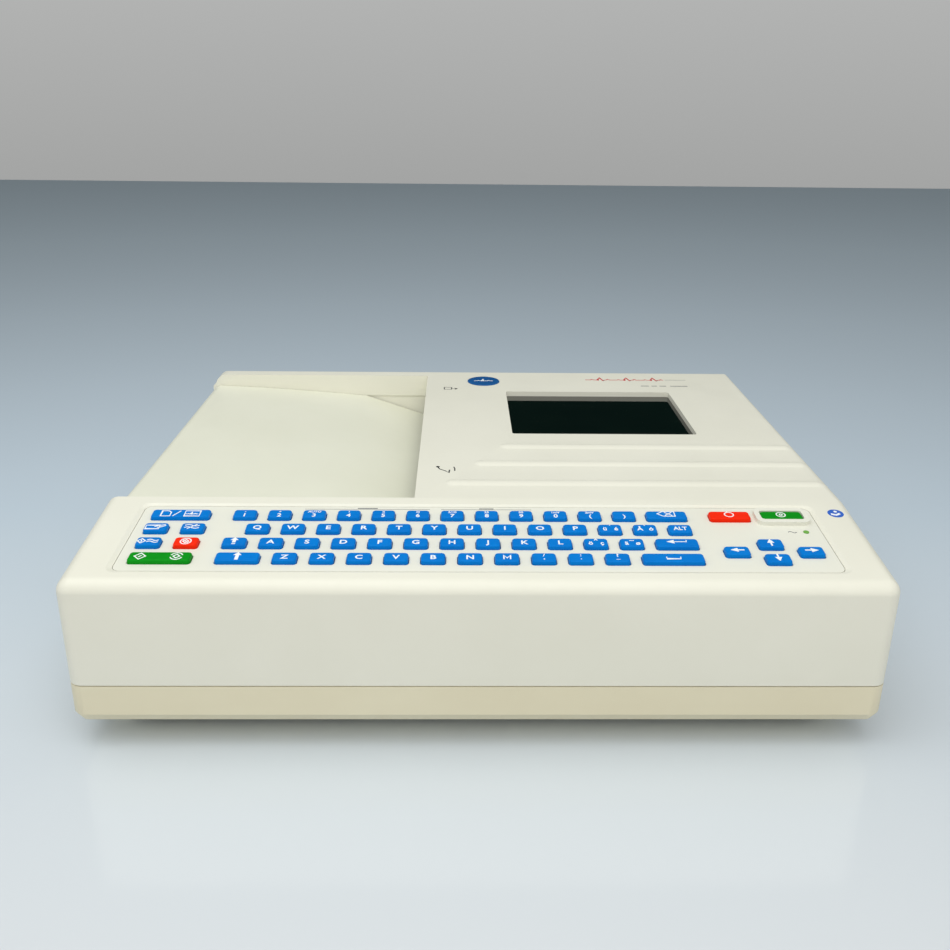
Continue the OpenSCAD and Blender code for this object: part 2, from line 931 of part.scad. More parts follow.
module platen_roller() {
    color(rubber_black)
        across(platen_at[0], bay_mid_y - paper_w / 2 - 2, platen_at[1])
            difference() {
                cylinder(r = platen_r, h = paper_w + 4);
                translate([0, 0, -1])
                    cylinder(r = shaft_r, h = paper_w + 6);
            }
}

module platen_shaft() {
    color(steel)
        across(platen_at[0], gear_y - gear_t - 1, platen_at[1])
            cylinder(r = shaft_r, h = rear_plate_y + 6 - gear_y + gear_t);
}

module platen_bearings() {
    color([0.8, 0.65, 0.35])
        for (y = [front_plate_y, rear_plate_y])
            across(platen_at[0], y, platen_at[1])
                difference() {
                    union() {
                        cylinder(r = bearing_r, h = plate_t);
                        translate([0, 0, y < 0 ? plate_t : -1])
                            cylinder(r = 7.5, h = 1);
                    }
                    translate([0, 0, -3])
                        cylinder(r = shaft_r + running_gap, h = 10);
                }
}

module printhead() {
    head_len = paper_w + 4;
    y0 = bay_mid_y - head_len / 2;
    color([0.75, 0.76, 0.78])
        difference() {
            union() {
                translate([-22, y0, head_bottom + 1])
                    cube([38, head_len, 3]);
                translate([-24, y0 + 2, head_bottom])
                    cube([22, head_len - 4, 1.2]);
                for (i = [0 : 3])
                    translate([-21 + i * 4, y0, head_bottom + 3.9])
                        cube([1.6, head_len, 4]);
                for (y = [y0 + 4, y0 + head_len - 10])
                    translate([0, y, 0]) {
                        translate([13, 0, head_bottom + 2])
                            cube([10, 6, 6]);
                        across(head_pivot[0], 0, head_pivot[1])
                            cylinder(r = 4.5, h = 6);
                    }
            }
            across(head_pivot[0], -100, head_pivot[1])
                cylinder(r = head_pin_r + running_gap, h = 300);
        }
}

module printhead_pin() {
    color(steel)
        across(head_pivot[0], front_plate_y - 2, head_pivot[1])
            cylinder(r = head_pin_r, h = rear_plate_y - front_plate_y + plate_t + 4);
}

// closed tube along a helix
module coil(r, wire_r, height, turns) {
    steps = 16 * turns;
    sides = 6;
    ring = function(i)
        let (a = 360 * i / 16, z = wire_r + (height - 2 * wire_r) * i / steps)
        [for (k = [0 : sides - 1])
            let (b = 360 * k / sides)
            [(r + wire_r * cos(b)) * cos(a), (r + wire_r * cos(b)) * sin(a), z + wire_r * sin(b)]];
    points = [for (i = [0 : steps]) each ring(i)];
    side_faces = [
        for (i = [0 : steps - 1], k = [0 : sides - 1])
            let (n = (k + 1) % sides)
            [i * sides + k, (i + 1) * sides + k, (i + 1) * sides + n, i * sides + n]
    ];
    polyhedron(points, concat(
        [[for (k = [0 : sides - 1]) k]],
        side_faces,
        [[for (k = [sides - 1 : -1 : 0]) steps * sides + k]]
    ), convexity = 6);
}

module printhead_springs() {
    bottom = head_bottom + 4;
    color(steel)
        for (y = [-20, 98])
            translate([3, y, bottom])
                coil(2.9, 0.5, spring_top - bottom, 6);
}

// ---- electronics ----

module main_board() {
    color(board_green)
        difference() {
            union() {
                translate([54, -58, board_z])
                    cube([122, 98, board_t]);
                for (place = [[72, -25], [104, -30], [142, 2], [90, 8]])
                    translate([place[0], place[1], 25.5])
                        cube([22, 22, 2.6]);
                translate([66, -54, 25.5])
                    cube([60, 8, 9]);
                translate([140, -50, 25.5])
                    cube([20, 14, 7]);
                for (i = [0 : 3])
                    translate([134 + i * 13, -24, 25.5])
                        cylinder(r = 4, h = 11);
            }
            for (p = board_pillars)
                translate([p[0], p[1], 0])
                    cylinder(r = screw_hole_r, h = 60);
        }
}

module power_supply() {
    color([0.62, 0.63, 0.6])
        difference() {
            union() {
                translate([64, 62, board_z])
                    cube([114, 78, board_t]);
                translate([80, 74, 25.5])
                    cube([46, 54, 34]);
                translate([134, 74, 25.5])
                    cube([3, 54, 28]);
                for (y = [80, 98, 116])
                    translate([154, y, 25.5])
                        cylinder(r = 8, h = 26);
            }
            for (p = supply_pillars)
                translate([p[0], p[1], 0])
                    cylinder(r = screw_hole_r, h = 60);
        }
}

module board_screws() {
    color(steel) {
        for (p = concat(board_pillars, supply_pillars))
            translate([p[0], p[1], board_z + board_t])
                cap_screw(board_screw_r);
        for (p = concat(chassis_pillars, tray_pillars))
            translate([p[0], p[1], mount_z + sheet_t])
                cap_screw(board_screw_r);
        on_deck()
            for (p = keyboard_screw_places)
                translate([p[0], p[1], mat_top - mat_t - board_t])
                    rotate([180, 0, 0])
                        cap_screw(screw_r);
    }
}

// screw whose head stands on z = 0 and whose shank points down
module cap_screw(shank_r) {
    difference() {
        union() {
            cylinder(r = 2.7, h = 1.8);
            translate([0, 0, -5])
                cylinder(r = shank_r, h = 5.5);
        }
        translate([0, 0, 0.9])
            for (a = [0, 90])
                rotate(a)
                    translate([-1.7, -0.3, 0])
                        cube([3.4, 0.6, 1.5]);
    }
}

module speaker() {
    color(black)
        translate([120, -124, foot_h + wall]) {
            cylinder(r = 20, h = 4);
            translate([0, 0, 4])
                cylinder(r1 = 18, r2 = 10, h = 6);
            translate([0, 0, 10])
                cylinder(r = 10, h = 4);
        }
}

module battery_pack() {
    color([0.2, 0.22, 0.25])
        translate([battery_mid[0], battery_mid[1], battery_z])
            rounded_plate(battery_size[0], battery_size[1], battery_size[2], 2);
}

// ---- connectors ----

// D-sub socket: flange, shell, contact block and two threaded jack posts
module dsub_socket(shell_w, hole_spacing) {
    difference() {
        union() {
            rounded_plate(hole_spacing + 6, 12.5, 1, 1.5);
            translate([0, 0, 0.5])
                rounded_plate(shell_w, 8.4, 5, 2);
            translate([0, 0, -9])
                rounded_plate(shell_w, 10.6, 9.1, 1);
            for (x = [-1, 1])
                translate([x * hole_spacing / 2, 0, 0.5])
                    cylinder(r = 2.7, h = 5, $fn = 6);
        }
        for (x = [-1, 1])
            translate([x * hole_spacing / 2, 0, -2])
                cylinder(r = jack_r, h = 10);
        for (row = [-1, 1], i = [-3 : 3])
            translate([i * 2.74 + row * 0.68, row * 1.42, 1])
                cylinder(r = 0.55, h = 6);
    }
}

module serial_sockets() {
    color(steel)
        for (x = serial_x)
            across(x, half_d - 6, rear_socket_z)
                dsub_socket(17, 24.99);
}

module patient_socket() {
    color(steel)
        translate([half_w - 6, patient_y, patient_z])
            rotate([90, 0, 90])
                dsub_socket(25.2, 33.32);
}

module mains_inlet() {
    color(black)
        across(inlet_x, half_d - 4, inlet_z)
            difference() {
                union() {
                    rounded_plate(50, 28, 3, 2);
                    translate([0, 0, -20])
                        rounded_plate(27.6, 20.6, 20.5, 2);
                }
                difference() {
                    translate([0, 0, -12])
                        rounded_plate(24, 16.5, 20, 3);
                    for (x = [-7, 0, 7])
                        translate([x - 1, x == 0 ? -4 : 0, -13])
                            cube([2, 4, 13]);
                }
                for (x = [-20, 20])
                    translate([x, 0, -1])
                        cylinder(r = 1.7, h = 10);
            }
}

module equipotential_pin() {
    color([0.8, 0.65, 0.35]) {
        across(pin_x, half_d - 13, inlet_z)
            cylinder(r = 5, h = 1.5);
        across(pin_x, half_d - 11.6, inlet_z)
            cylinder(r = 3, h = 11);
        across(pin_x, half_d - 22, inlet_z)
            cylinder(r = 2.5, h = 10);
    }
}

module badge() {
    color([0.1, 0.38, 0.6])
        translate([7.9, 142.4, panel_z])
            cylinder(r = 12, h = 0.6, $fn = 96);
}

// flat cable that rises from one board to another
module ribbon(x, y0, z0, y1, z1, w) {
    thick = 1;
    middle = (z0 + z1) / 2;
    translate([x, 0, 0])
        rotate([90, 0, 90])
            linear_extrude(w) {
                translate([min(y0, y1), middle])
                    square([abs(y1 - y0) + thick, thick]);
                for (leg = [[y0, z0, middle + thick], [y1, middle, z1]])
                    translate([leg[0], leg[1]])
                        square([thick, leg[2] - leg[1]]);
            }
}

module ribbon_cables() {
    color([0.6, 0.62, 0.65]) {
        ribbon(80, -51, 34.6, -103.6, 84, 30);
        ribbon(60, 20, 25.7, 74, 82.1, 12);
    }
}

base_housing();
top_housing();
key_panel();
keypad_mat();
keyboard_board();
mains_led();
key_set(digit_places, blue);  // digit_keys
key_set(upper_places, blue);  // upper_letter_keys
key_set(middle_places, blue);  // middle_letter_keys
key_set(lower_places, blue);  // lower_letter_keys
key_set([backspace_place], blue);  // backspace_key
key_set([shift_lock_place], blue);  // shift_lock_key
key_set([shift_place], blue);  // shift_key
key_set([enter_place], blue);  // enter_key
key_set([space_place], blue);  // space_key
key_set([report_place], blue);  // report_key
key_set([patient_place], blue);  // patient_key
key_set([leads_place], blue);  // leads_key
key_set([filter_place], blue);  // filter_key
key_set([stop_place], red);  // stop_key
key_set([start_place], green);  // start_key
key_set([arrow_left_place], blue);  // arrow_left_key
key_set([arrow_right_place], blue);  // arrow_right_key
key_set([arrow_up_place], blue);  // arrow_up_key
key_set([arrow_down_place], blue);  // arrow_down_key
key_set([power_off_place], red);  // power_off_key
key_set([power_on_place], green);  // power_on_key
display_window();
display_module();
paper_cover();
paper_tray();
paper_pack();
printer_chassis();
stepper_motor();
motor_shaft();
motor_pinion();
idler_gear();
idler_pin();
platen_gear();
platen_roller();
platen_shaft();
platen_bearings();
printhead();
printhead_pin();
printhead_springs();
main_board();
power_supply();
mains_inlet();
equipotential_pin();
patient_socket();
serial_sockets();
battery_pack();
battery_cover();
battery_cover_screws();
housing_screws();
board_screws();
rubber_feet();
speaker();
badge();
ribbon_cables();
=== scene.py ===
"""Looks of a portable ECG machine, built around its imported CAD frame."""

import json
import math
import random

import bmesh
import bpy
from mathutils import Matrix, Vector


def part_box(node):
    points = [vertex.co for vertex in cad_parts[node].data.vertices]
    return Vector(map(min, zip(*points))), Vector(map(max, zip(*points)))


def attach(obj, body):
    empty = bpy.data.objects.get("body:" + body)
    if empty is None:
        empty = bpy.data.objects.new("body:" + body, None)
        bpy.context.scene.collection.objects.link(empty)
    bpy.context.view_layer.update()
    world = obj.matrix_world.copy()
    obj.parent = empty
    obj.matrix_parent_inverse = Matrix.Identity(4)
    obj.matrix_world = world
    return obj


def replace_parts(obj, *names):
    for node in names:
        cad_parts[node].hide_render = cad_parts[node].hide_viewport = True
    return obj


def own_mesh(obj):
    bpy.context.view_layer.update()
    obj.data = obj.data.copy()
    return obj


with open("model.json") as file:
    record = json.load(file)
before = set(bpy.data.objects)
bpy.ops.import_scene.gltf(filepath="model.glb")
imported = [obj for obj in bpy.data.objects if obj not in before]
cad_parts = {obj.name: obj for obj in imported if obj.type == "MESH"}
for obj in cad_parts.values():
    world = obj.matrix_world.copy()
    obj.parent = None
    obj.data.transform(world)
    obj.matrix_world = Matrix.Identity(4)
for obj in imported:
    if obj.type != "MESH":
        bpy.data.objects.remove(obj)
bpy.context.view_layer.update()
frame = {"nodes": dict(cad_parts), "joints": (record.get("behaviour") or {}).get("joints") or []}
NODES = frame["nodes"]
MM = 0.001
ROOT = "housing"

# ---- places read from the frame ----


def joint(name):
    """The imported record's joint of that name."""
    return next(j for j in frame["joints"] if j["name"] == name)


# the keys travel square to the deck, so their joint gives the deck's slope
PRESS = Vector(joint("space_key_press")["axis"])
DECK_ANGLE = math.atan2(PRESS.y, -PRESS.z)
TO_WORLD = Matrix.Rotation(DECK_ANGLE, 4, "X")
TO_DECK = TO_WORLD.inverted()


def node_mesh(node):
    """A welded copy of a CAD node's mesh."""
    mesh = bmesh.new()
    mesh.from_mesh(NODES[node].data)
    bmesh.ops.remove_doubles(mesh, verts=mesh.verts, dist=1e-6)
    return mesh


def islands(node, to_local):
    """Boxes of a node's separate solids, as (low, high) corners, from left to right."""
    mesh = node_mesh(node)
    mesh.verts.ensure_lookup_table()
    left = set(range(len(mesh.verts)))
    found = []
    while left:
        todo = [left.pop()]
        group = []
        while todo:
            vert = mesh.verts[todo.pop()]
            group.append(to_local @ vert.co)
            for edge in vert.link_edges:
                other = edge.other_vert(vert).index
                if other in left:
                    left.remove(other)
                    todo.append(other)
        low = Vector([min(p[i] for p in group) for i in range(3)])
        high = Vector([max(p[i] for p in group) for i in range(3)])
        found.append((low, high))
    mesh.free()
    return sorted(found, key=lambda box: box[0].x)


# ---- materials ----


class Shader:
    """A small helper that builds one node material."""

    def __init__(self, name):
        self.material = bpy.data.materials.new(name)
        self.material.use_nodes = True
        self.tree = self.material.node_tree
        self.tree.nodes.clear()
        self.surface = self.add("ShaderNodeBsdfPrincipled")
        output = self.add("ShaderNodeOutputMaterial")
        self.join(self.surface, "BSDF", output, "Surface")
        self.place = self.add("ShaderNodeTexCoord")

    def add(self, kind, **values):
        """Adds a node; each value is a property of the node or the default of an input."""
        node = self.tree.nodes.new(kind)
        for key, value in values.items():
            if hasattr(node, key):
                setattr(node, key, value)
            else:
                node.inputs[key.replace("_", " ").title()].default_value = value
        return node

    def join(self, source, output, target, socket):
        """Links an output to another node's input."""
        self.tree.links.new(source.outputs[output], target.inputs[socket])

    def noise(self, scale, detail=3.0, rough=0.55):
        """Noise in object space; a larger scale is finer."""
        node = self.add("ShaderNodeTexNoise", scale=scale, detail=detail, roughness=rough)
        self.join(self.place, "Object", node, "Vector")
        return node

    def ramp(self, source, output, stops):
        """Colour ramp over an output; stops are (position, colour)."""
        node = self.add("ShaderNodeValToRGB")
        ramp = node.color_ramp
        while len(ramp.elements) < len(stops):
            ramp.elements.new(0.5)
        for element, (position, colour) in zip(ramp.elements, stops):
            element.position = position
            element.color = (*colour, 1)
        self.join(source, output, node, "Fac")
        return node

    def mix(self, factor, first, second):
        """Colour mix; each argument is a number, a colour or a (node, output) pair."""
        node = self.add("ShaderNodeMix", data_type="RGBA")
        for value, index in ((factor, 0), (first, 6), (second, 7)):
            if isinstance(value, tuple) and isinstance(value[0], bpy.types.Node):
                self.tree.links.new(value[0].outputs[value[1]], node.inputs[index])
            elif index == 0:
                node.inputs[0].default_value = value
            else:
                node.inputs[index].default_value = (*value, 1)
        return node

    def math(self, operation, first, second=0.0, third=0.0, clamp=False):
        """Maths node; each operand is a number or a (node, output) pair."""
        node = self.add("ShaderNodeMath", operation=operation, use_clamp=clamp)
        for value, index in ((first, 0), (second, 1), (third, 2)):
            if isinstance(value, tuple):
                self.tree.links.new(value[0].outputs[value[1]], node.inputs[index])
            else:
                node.inputs[index].default_value = value
        return node

    def tone(self, source, *stops):
        """Base colour that drifts with a texture."""
        self.join(self.ramp(source, "Fac", stops), "Color", self.surface, "Base Color")

    def gloss(self, source, *stops):
        """Roughness that varies with a texture; stops are (position, roughness)."""
        greys = [(position, (value,) * 3) for position, value in stops]
        self.join(self.ramp(source, "Fac", greys), "Color", self.surface, "Roughness")

    def relief(self, source, strength, depth_mm):
        """Fine surface relief from a texture."""
        bump = self.add("ShaderNodeBump", strength=strength, distance=depth_mm * MM)
        self.join(source, "Fac", bump, "Height")
        self.join(bump, "Normal", self.surface, "Normal")

    def value(self, socket, number):
        """Fixed value of one of the surface's inputs."""
        self.surface.inputs[socket].default_value = number


def rgb(red, green, blue):
    """Linear colour from a 0-255 screen colour."""
    def linear(value):
        value /= 255
        return value / 12.92 if value <= 0.04045 else ((value + 0.055) / 1.055) ** 2.4
    return tuple(linear(v) for v in (red, green, blue))


def darker(colour, part):
    """A colour scaled down evenly."""
    return tuple(c * part for c in colour)


GRAIN_MM = 0.35
# strength of the painted shade that darkens corners and creases of moulded plastic
CORNER_SHADE = 0.1


def moulded(name, colour, shade, rough=0.42, grain=0.35):
    """Moulded plastic: fine spark-eroded grain, faint tone drift, painted shade darkening its corners and
    creases.
    """
    shader = Shader(name)
    drift = shader.noise(14, 4)
    tone = shader.ramp(drift, "Fac", [(0.3, colour), (0.72, shade)])
    # painted shade: ambient occlusion darkens the base colour in corners and creases
    corner = shader.add("ShaderNodeAmbientOcclusion", samples=4, distance=4 * MM)
    corner_shade_amount = shader.math("MULTIPLY_ADD", (corner, "AO"), -CORNER_SHADE, CORNER_SHADE, clamp=True)
    shaded = shader.mix((corner_shade_amount, 0), (tone, "Color"), darker(shade, 0.62))
    shader.join(shaded, "Result", shader.surface, "Base Color")
    shader.gloss(shader.noise(55, 5, 0.65), (0.3, rough - 0.05), (0.7, rough + 0.07))
    shader.relief(shader.noise(1 / (GRAIN_MM * MM), 2), grain, 0.02)
    return shader.material


def keycap_plastic(name, colour, deep, shine=0.06):
    """Satin keycap: saturated colour, faint gloss changes, very fine grain."""
    shader = Shader(name)
    shader.tone(shader.noise(90, 3), (0.3, colour), (0.75, deep))
    shader.gloss(shader.noise(160, 4), (0.35, 0.3), (0.7, 0.42))
    shader.value("Specular IOR Level", shine)
    shader.relief(shader.noise(5000, 2), 0.25, 0.01)
    return shader.material


def ink(name, colour):
    """Printed ink with slightly uneven cover."""
    shader = Shader(name)
    shader.tone(shader.noise(900, 3), (0.25, darker(colour, 0.9)), (0.6, colour))
    shader.value("Roughness", 0.5)
    return shader.material


def metal(name, colour, rough=0.35, scratch_scale=(8, 900, 900)):
    """Brushed or drawn metal with fine directional scratches."""
    shader = Shader(name)
    stretch = shader.add("ShaderNodeMapping")
    stretch.inputs["Scale"].default_value = scratch_scale
    shader.join(shader.place, "Object", stretch, "Vector")
    lines = shader.add("ShaderNodeTexNoise", scale=1.0, detail=4.0)
    shader.join(stretch, "Vector", lines, "Vector")
    shader.tone(lines, (0.3, darker(colour, 0.8)), (0.7, colour))
    shader.value("Metallic", 1.0)
    shader.gloss(lines, (0.3, rough - 0.08), (0.7, rough + 0.1))
    shader.relief(lines, 0.15, 0.02)
    return shader.material


def rubber(name, colour):
    """Matt rubber with a fine pitted skin."""
    shader = Shader(name)
    pits = shader.noise(2200, 3)
    shader.tone(pits, (0.3, darker(colour, 0.7)), (0.7, colour))
    shader.value("Roughness", 0.7)
    shader.relief(pits, 0.4, 0.05)
    return shader.material


def window_glass(name):
    """Near-black display window with a faint green cast and a wiped, glossy face."""
    shader = Shader(name)
    shader.tone(shader.noise(20, 2), (0.3, rgb(1, 7, 5)), (0.7, rgb(3, 11, 7)))
    shader.gloss(shader.noise(40, 4), (0.3, 0.03), (0.7, 0.07))
    shader.value("IOR", 1.85)
    return shader.material


def circuit_board(name, split_z):
    """Green board below split_z, dark component bodies above it, fine copper tracks."""
    shader = Shader(name)
    tracks = shader.add("ShaderNodeTexBrick", scale=120.0, offset=0.35)
    tracks.inputs["Color1"].default_value = (*rgb(22, 92, 58), 1)
    tracks.inputs["Color2"].default_value = (*rgb(18, 80, 50), 1)
    tracks.inputs["Mortar"].default_value = (*rgb(46, 120, 80), 1)
    shader.join(shader.place, "Object", tracks, "Vector")
    split = shader.add("ShaderNodeSeparateXYZ")
    shader.join(shader.place, "Object", split, "Vector")
    above = shader.math("GREATER_THAN", (split, "Z"), split_z)
    package = ((0.3, (0.012, 0.012, 0.013)), (0.7, (0.03, 0.03, 0.032)))
    dark = shader.ramp(shader.noise(400, 3), "Fac", package)
    colour = shader.mix((above, 0), (tracks, "Color"), (dark, "Color"))
    shader.join(colour, "Result", shader.surface, "Base Color")
    shader.value("Roughness", 0.38)
    shader.relief(tracks, 0.3, 0.04)
    return shader.material


def chart_paper(name):
    """Coated recording paper: pale, with a fine red 1 mm and 5 mm grid."""
    shader = Shader(name)
    split = shader.add("ShaderNodeSeparateXYZ")
    shader.join(shader.place, "Object", split, "Vector")
    line = None
    grids = ((1, 0.14, 0.35), (5, 0.06, 0.8))  # pitch in mm, line as a part of it, strength
    for pitch, width, strength in grids:
        for axis in ("X", "Y"):
            steps = shader.math("MULTIPLY", (split, axis), 1 / (pitch * MM))
            wave = shader.math("FRACT", (steps, 0))
            near = shader.math("LESS_THAN", (wave, 0), width)
            faint = shader.math("MULTIPLY", (near, 0), strength)
            line = shader.math("MAXIMUM", (line, 0), (faint, 0)) if line else faint
    colour = shader.mix((line, 0), rgb(246, 241, 236), rgb(226, 150, 140))
    shader.join(colour, "Result", shader.surface, "Base Color")
    shader.value("Roughness", 0.45)
    shader.relief(shader.noise(900, 4), 0.2, 0.02)
    return shader.material


HOUSING = moulded("housing_plastic", rgb(234, 232, 218), rgb(230, 228, 213))
BASE = moulded("base_plastic", rgb(230, 222, 194), rgb(225, 216, 187))
PANEL = moulded("panel_plastic", rgb(233, 232, 219), rgb(229, 228, 215), rough=0.4, grain=0.2)
COVER = moulded("cover_plastic", rgb(231, 231, 214), rgb(227, 227, 209), rough=0.46)
TRAY = moulded("tray_plastic", rgb(78, 80, 84), rgb(66, 68, 72), rough=0.5)
SOCKET = moulded("socket_plastic", rgb(28, 28, 30), rgb(20, 20, 22), rough=0.4)
BATTERY = moulded("battery_case", rgb(58, 60, 66), rgb(46, 48, 54), rough=0.45)
NYLON = moulded("nylon", rgb(232, 228, 214), rgb(222, 217, 200), rough=0.4)
# the keypad mat is coloured dark grey so the gaps round the keys show painted shade
DARK_GAP_SILICONE = moulded("silicone", rgb(64, 68, 74), rgb(52, 56, 62), rough=0.55)
CABLE = moulded("cable_grey", rgb(150, 154, 160), rgb(132, 136, 142), rough=0.5)
BLUE = keycap_plastic("key_blue", rgb(0, 121, 208), rgb(0, 112, 199))
RED = keycap_plastic("key_red", rgb(246, 44, 10), rgb(238, 38, 8))
GREEN = keycap_plastic("key_green", rgb(14, 146, 28), rgb(10, 134, 22))
STEEL = metal("sheet_steel", (0.62, 0.63, 0.65))
SHAFT = metal("ground_steel", (0.7, 0.7, 0.72), 0.2, (900, 20, 900))
BRONZE = metal("bronze", (0.72, 0.52, 0.22), 0.3)
ALUMINIUM = metal("aluminium", (0.74, 0.75, 0.77), 0.3, (900, 8, 900))
SCREW = metal("screw_steel", (0.66, 0.66, 0.66), 0.3, (700, 700, 700))
SHELL = metal("plated_shell", (0.7, 0.68, 0.62), 0.28, (60, 700, 60))
MOTOR = metal("motor_black", (0.03, 0.03, 0.035), 0.4, (600, 20, 600))
RUBBER = rubber("rubber", rgb(40, 40, 42))
GLASS = window_glass("display_glass")
PAPER = chart_paper("paper")
WHITE_INK = ink("legend_white", rgb(246, 248, 250))
GREY_INK = ink("legend_grey", rgb(120, 122, 124))
DARK_INK = ink("legend_dark", rgb(52, 54, 58))
RED_INK = ink("legend_red", rgb(206, 52, 58))
BADGE_BLUE = keycap_plastic("badge_blue", rgb(24, 92, 158), rgb(18, 80, 142), 0.3)
SIGN_BLUE = ink("sign_blue", rgb(38, 98, 200))
LED = keycap_plastic("indicator", rgb(120, 176, 84), rgb(104, 160, 70))
LAMINATE = 1.7 * MM
NO_PARTS = 1.0  # a height above everything, so the whole board stays green
BOARD = circuit_board("circuit_board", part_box("main_board")[0].z + LAMINATE)
SUPPLY = circuit_board("supply_board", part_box("power_supply")[0].z + LAMINATE)
KEY_BOARD = circuit_board("keyboard_board", NO_PARTS)

# ---- CAD nodes that keep their shape: material, edge rounding and shading ----


SHARP_EDGE = math.radians(32)


def finish_node(name, material, round_mm):
    """Gives a CAD node its material and softens its sharp edges with a bevel."""
    obj = NODES[name]
    obj.data.materials.clear()
    obj.data.materials.append(material)
    for face in obj.data.polygons:
        face.use_smooth = True
    weld = obj.modifiers.new("weld", "WELD")
    weld.merge_threshold = 2e-6
    if round_mm:
        bevel = obj.modifiers.new("round", "BEVEL")
        bevel.width = round_mm * MM
        bevel.segments = 2
        bevel.limit_method = "ANGLE"
        bevel.angle_limit = SHARP_EDGE
        bevel.use_clamp_overlap = True
        bevel.miter_outer = "MITER_ARC"
    shade = obj.modifiers.new("shade", "WEIGHTED_NORMAL")
    shade.keep_sharp = False
    shade.weight = 90


# node, material, edge rounding in millimetres
KEPT = [
    ("top_housing", HOUSING, 0.7), ("base_housing", BASE, 0.6), ("key_panel", PANEL, 0.45),
    ("paper_cover", COVER, 0.5), ("paper_tray", TRAY, 0.6), ("display_window", GLASS, 0.2),
    ("display_module", STEEL, 0.3), ("keypad_mat", DARK_GAP_SILICONE, 0.2), ("keyboard_board", KEY_BOARD, 0),
    ("mains_led", LED, 0.3), ("printer_chassis", STEEL, 0.2), ("stepper_motor", MOTOR, 0.5),
    ("motor_shaft", SHAFT, 0.2), ("motor_pinion", BRONZE, 0), ("idler_gear", NYLON, 0),
    ("idler_pin", SHAFT, 0.2), ("platen_gear", NYLON, 0), ("platen_roller", RUBBER, 0.4),
    ("platen_shaft", SHAFT, 0.3), ("platen_bearings", BRONZE, 0.2), ("printhead", ALUMINIUM, 0.2),
    ("printhead_pin", SHAFT, 0.3), ("main_board", BOARD, 0.2),
    ("power_supply", SUPPLY, 0.3), ("mains_inlet", SOCKET, 0.3), ("equipotential_pin", BRONZE, 0.3),
    ("patient_socket", SHELL, 0.15), ("serial_sockets", SHELL, 0.15), ("battery_pack", BATTERY, 0.6),
    ("battery_cover", BASE, 0.4), ("battery_cover_screws", SCREW, 0.15), ("housing_screws", SCREW, 0.15),
    ("board_screws", SCREW, 0.15), ("rubber_feet", RUBBER, 0.5), ("speaker", MOTOR, 0.3),
    ("ribbon_cables", CABLE, 0.2),
]
for node_name, node_material, round_mm in KEPT:
    finish_node(node_name, node_material, round_mm)

# ---- mesh building ----


def new_piece(name, mesh, material, body, smooth=True):
    """Turns a bmesh into a piece that rides on a body."""
    bmesh.ops.recalc_face_normals(mesh, faces=mesh.faces)
    data = bpy.data.meshes.new(name)
    mesh.to_mesh(data)
    mesh.free()
    for face in data.polygons:
        face.use_smooth = smooth
    data.materials.append(material)
    obj = bpy.data.objects.new(name, data)
    bpy.context.scene.collection.objects.link(obj)
    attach(obj, body)
    return obj


def rounded_outline(width, depth, radius, steps=6):
    """Points round a rectangle with round corners, anticlockwise."""
    points = []
    for corner in range(4):
        side_x = 1 if corner in (0, 3) else -1
        side_y = 1 if corner < 2 else -1
        for i in range(steps + 1):
            angle = math.pi / 2 * (corner + i / steps)
            points.append((side_x * (width / 2 - radius) + radius * math.cos(angle),
                           side_y * (depth / 2 - radius) + radius * math.sin(angle)))
    return points


def stack_rings(mesh, rings):
    """Joins rings of equal point count into a closed skin with flat ends."""
    loops = [[mesh.verts.new(p) for p in ring] for ring in rings]
    count = len(loops[0])
    for lower, upper in zip(loops, loops[1:]):
        for i in range(count):
            j = (i + 1) % count
            mesh.faces.new((lower[i], lower[j], upper[j], upper[i]))
    mesh.faces.new(reversed(loops[0]))
    mesh.faces.new(loops[-1])


def prism(mesh, points, bottom, top, transform):
    """Closed prism over a flat outline."""
    stack_rings(mesh, [[transform @ Vector((x, y, z)) for x, y in points] for z in (bottom, top)])


SHARPEST_MITRE = 0.45


def stroke(mesh, points, width, bottom, top, transform, closed=False):
    """Solid ribbon of constant width along a flat line, mitred at its corners."""
    count = len(points)
    left, right = [], []
    for i, point in enumerate(points):
        before = points[i - 1] if closed or i else point
        after = points[(i + 1) % count] if closed or i < count - 1 else point
        ahead = Vector((after[0] - before[0], after[1] - before[1])).normalized()
        reach = width / 2
        if before != point and after != point:
            first = Vector((point[0] - before[0], point[1] - before[1])).normalized()
            reach /= max(SHARPEST_MITRE, abs(first.dot(ahead)))
        side = Vector((-ahead.y, ahead.x)) * reach
        left.append((point[0] + side.x, point[1] + side.y))
        right.append((point[0] - side.x, point[1] - side.y))
    rows = [[mesh.verts.new(transform @ Vector((x, y, z))) for x, y in edge]
            for edge, z in ((left, bottom), (left, top), (right, top), (right, bottom))]
    for first, second in zip(rows, rows[1:] + rows[:1]):
        for i in range(count if closed else count - 1):
            j = (i + 1) % count
            mesh.faces.new((first[i], first[j], second[j], second[i]))
    if not closed:
        mesh.faces.new([row[0] for row in rows])
        mesh.faces.new([row[-1] for row in rows][::-1])


def arc(centre_x, centre_y, radius, start, end, steps=16):
    """Points along an arc, angles in degrees."""
    angles = [math.radians(start + (end - start) * i / steps) for i in range(steps + 1)]
    return [(centre_x + radius * math.cos(a), centre_y + radius * math.sin(a)) for a in angles]


def circle(centre_x, centre_y, radius, steps=24):
    """Points round a full circle."""
    return arc(centre_x, centre_y, radius, 0, 360, steps)[:-1]


CAPITAL_HEIGHT = 0.695  # of the built-in font, at size 1
HEAVIER = 0.022


